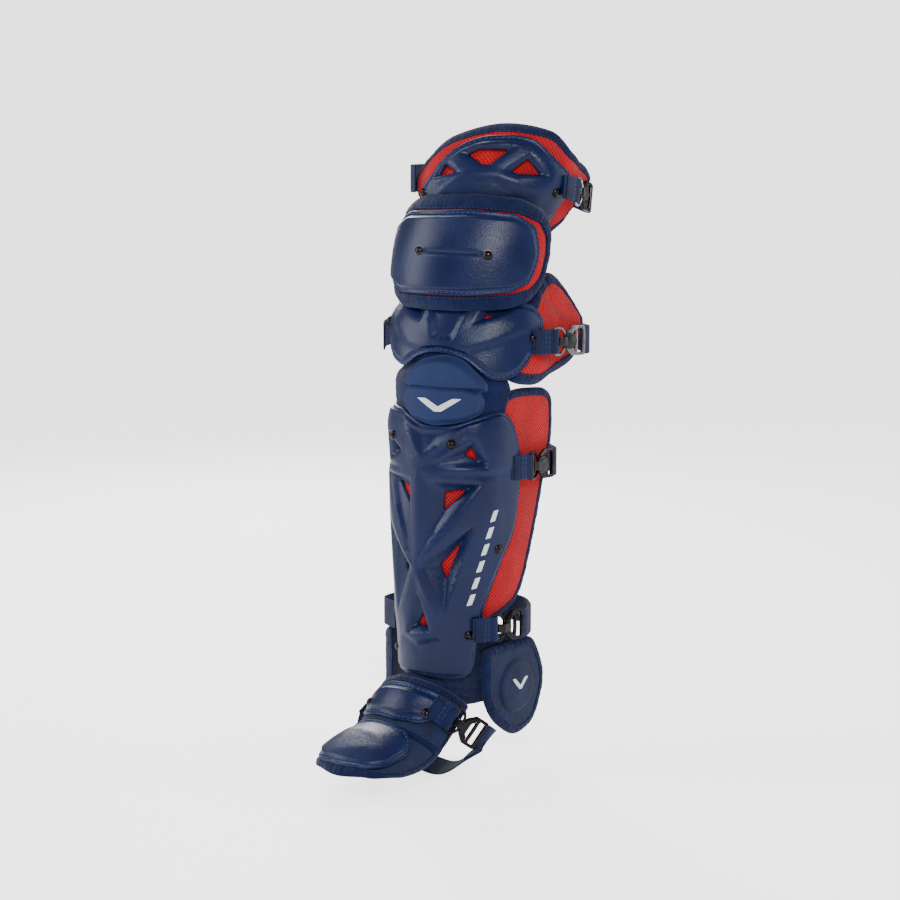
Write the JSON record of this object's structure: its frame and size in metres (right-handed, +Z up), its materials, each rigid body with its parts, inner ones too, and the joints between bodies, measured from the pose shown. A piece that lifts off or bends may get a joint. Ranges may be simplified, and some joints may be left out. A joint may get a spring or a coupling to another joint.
{
  "type": "catcher's leg guard",
  "caption": "Jointed protective leg guard with moulded shells over mesh foam pads, covering thigh, knee, shin, ankle and instep, held by elastic straps with hook clips.",
  "frame": {"origin": "middle of the flat back of the shin foam, where the guard lies on the shin bone", "axes": "+Z up the leg, +Y backwards through the leg, +X to the outer side of a left leg, where the straps clip"},
  "size_m": [0.2203, 0.3493, 0.6358],
  "materials": {
    "shell": "moulded navy plastic with a fine pebble grain and a satin sheen",
    "red_mesh": "red warp-knit mesh over foam",
    "navy_mesh": "navy warp-knit mesh over foam",
    "foam": "smooth matt moulded EVA foam",
    "webbing": "ribbed navy elastic webbing",
    "chrome": "bright nickel plated wire",
    "gunmetal": "dark nickel and black plated steel"
  },
  "bodies": {
    "shin": {"shin_shell": "shell", "shin_liner": "red_mesh", "shin_foam": "foam", "shin_rivet_1": "gunmetal", "shin_rivet_2": "gunmetal", "shin_rivet_3": "gunmetal", "shin_rivet_4": "gunmetal", "shin_rivet_5": "gunmetal", "shin_rivet_6": "gunmetal", "flex_lower_cushion": "foam", "flex_panel": "navy_mesh", "ankle_skirt": "navy_mesh", "upper_shin_clip_tab": "webbing", "upper_shin_clip_strap": "webbing", "lower_shin_clip_tab": "webbing", "lower_shin_clip_strap": "webbing"},
    "knee": {"knee_shell": "shell", "knee_pad": "red_mesh", "knee_rivet_inner": "gunmetal", "knee_rivet_outer": "gunmetal", "flex_upper_cushion": "foam", "knee_clip_tab": "webbing", "knee_clip_strap": "webbing"},
    "kneecap": {"kneecap_shell": "shell", "kneecap_pad": "red_mesh", "kneecap_rivet_inner": "gunmetal", "kneecap_rivet_outer": "gunmetal"},
    "thigh": {"thigh_shell": "shell", "thigh_pad": "red_mesh", "thigh_rivet_inner": "gunmetal", "thigh_rivet_outer": "gunmetal", "thigh_clip_tab": "webbing", "thigh_clip_strap": "webbing"},
    "instep": {"instep_shell": "shell", "instep_pad": "navy_mesh", "foot_rivet_inner": "gunmetal", "foot_rivet_outer": "gunmetal", "foot_clip_tab": "webbing", "foot_clip_strap": "webbing"},
    "toe": {"toe_shell": "shell", "toe_pad": "navy_mesh"},
    "ankle_flap_outer": {"ankle_flap_outer": "navy_mesh", "ankle_boss_outer": "foam"},
    "ankle_flap_inner": {"ankle_flap_inner": "navy_mesh", "ankle_boss_inner": "foam"},
    "thigh_clip": {"thigh_clip_ring": "chrome", "thigh_clip_hook": "gunmetal"},
    "knee_clip": {"knee_clip_ring": "chrome", "knee_clip_hook": "gunmetal"},
    "upper_shin_clip": {"upper_shin_clip_ring": "chrome", "upper_shin_clip_hook": "gunmetal"},
    "lower_shin_clip": {"lower_shin_clip_ring": "chrome", "lower_shin_clip_hook": "gunmetal"},
    "foot_clip": {"foot_clip_ring": "chrome", "foot_clip_hook": "gunmetal"}
  },
  "joints": [
    {"name": "knee_bend", "type": "hinge", "parent": "shin", "child": "knee", "pos_m": [0, -0.01, 0.153], "axis": [-1, 0, 0], "range_deg": [-4, 12], "stiffness_Nm_per_rad": 6, "deforming": ["flex_panel"]},
    {"name": "kneecap_bend", "type": "hinge", "parent": "knee", "child": "kneecap", "pos_m": [0, 0.02, 0.262], "axis": [-0.9743, -0.2251, 0], "range_deg": [-3, 17], "stiffness_Nm_per_rad": 5},
    {"name": "thigh_bend", "type": "hinge", "parent": "kneecap", "child": "thigh", "pos_m": [0, 0.05, 0.335], "axis": [-0.9511, -0.309, 0], "range_deg": [-4, 22], "stiffness_Nm_per_rad": 4},
    {"name": "instep_bend", "type": "hinge", "parent": "shin", "child": "instep", "pos_m": [0, -0.038, -0.119], "axis": [1, 0, 0], "range_deg": [-10, 16], "stiffness_Nm_per_rad": 4},
    {"name": "toe_bend", "type": "hinge", "parent": "instep", "child": "toe", "pos_m": [0, -0.076, -0.156], "axis": [1, 0, 0], "range_deg": [-8, 14], "stiffness_Nm_per_rad": 3},
    {"name": "ankle_flap_outer_bend", "type": "hinge", "parent": "shin", "child": "ankle_flap_outer", "pos_m": [0.049, 0.009, -0.143], "axis": [0, 0, -1], "range_deg": [-4, 22], "stiffness_Nm_per_rad": 1},
    {"name": "ankle_flap_inner_bend", "type": "hinge", "parent": "shin", "child": "ankle_flap_inner", "pos_m": [-0.049, 0.009, -0.143], "axis": [0, 0, 1], "range_deg": [-4, 22], "stiffness_Nm_per_rad": 1},
    {"name": "thigh_clip_swing", "type": "hinge", "parent": "thigh", "child": "thigh_clip", "pos_m": [0.08, 0.1272, 0.351], "axis": [0.043, -0.203, -0.9782], "range_deg": [-4, 18]},
    {"name": "knee_clip_swing", "type": "hinge", "parent": "knee", "child": "knee_clip", "pos_m": [0.0944, 0.0713, 0.206], "axis": [0, 0, -1], "range_deg": [-4, 18]},
    {"name": "upper_shin_clip_swing", "type": "hinge", "parent": "shin", "child": "upper_shin_clip", "pos_m": [0.0749, 0.0576, 0.083], "axis": [0, 0, -1], "range_deg": [-4, 18]},
    {"name": "lower_shin_clip_swing", "type": "hinge", "parent": "shin", "child": "lower_shin_clip", "pos_m": [0.0618, 0.0172, -0.075], "axis": [0, 0, -1], "range_deg": [-4, 18]},
    {"name": "foot_clip_swing", "type": "hinge", "parent": "instep", "child": "foot_clip", "pos_m": [0.0547, -0.0421, -0.1539], "axis": [-0.3421, -0.4672, -0.8153], "range_deg": [-4, 18]}
  ]
}
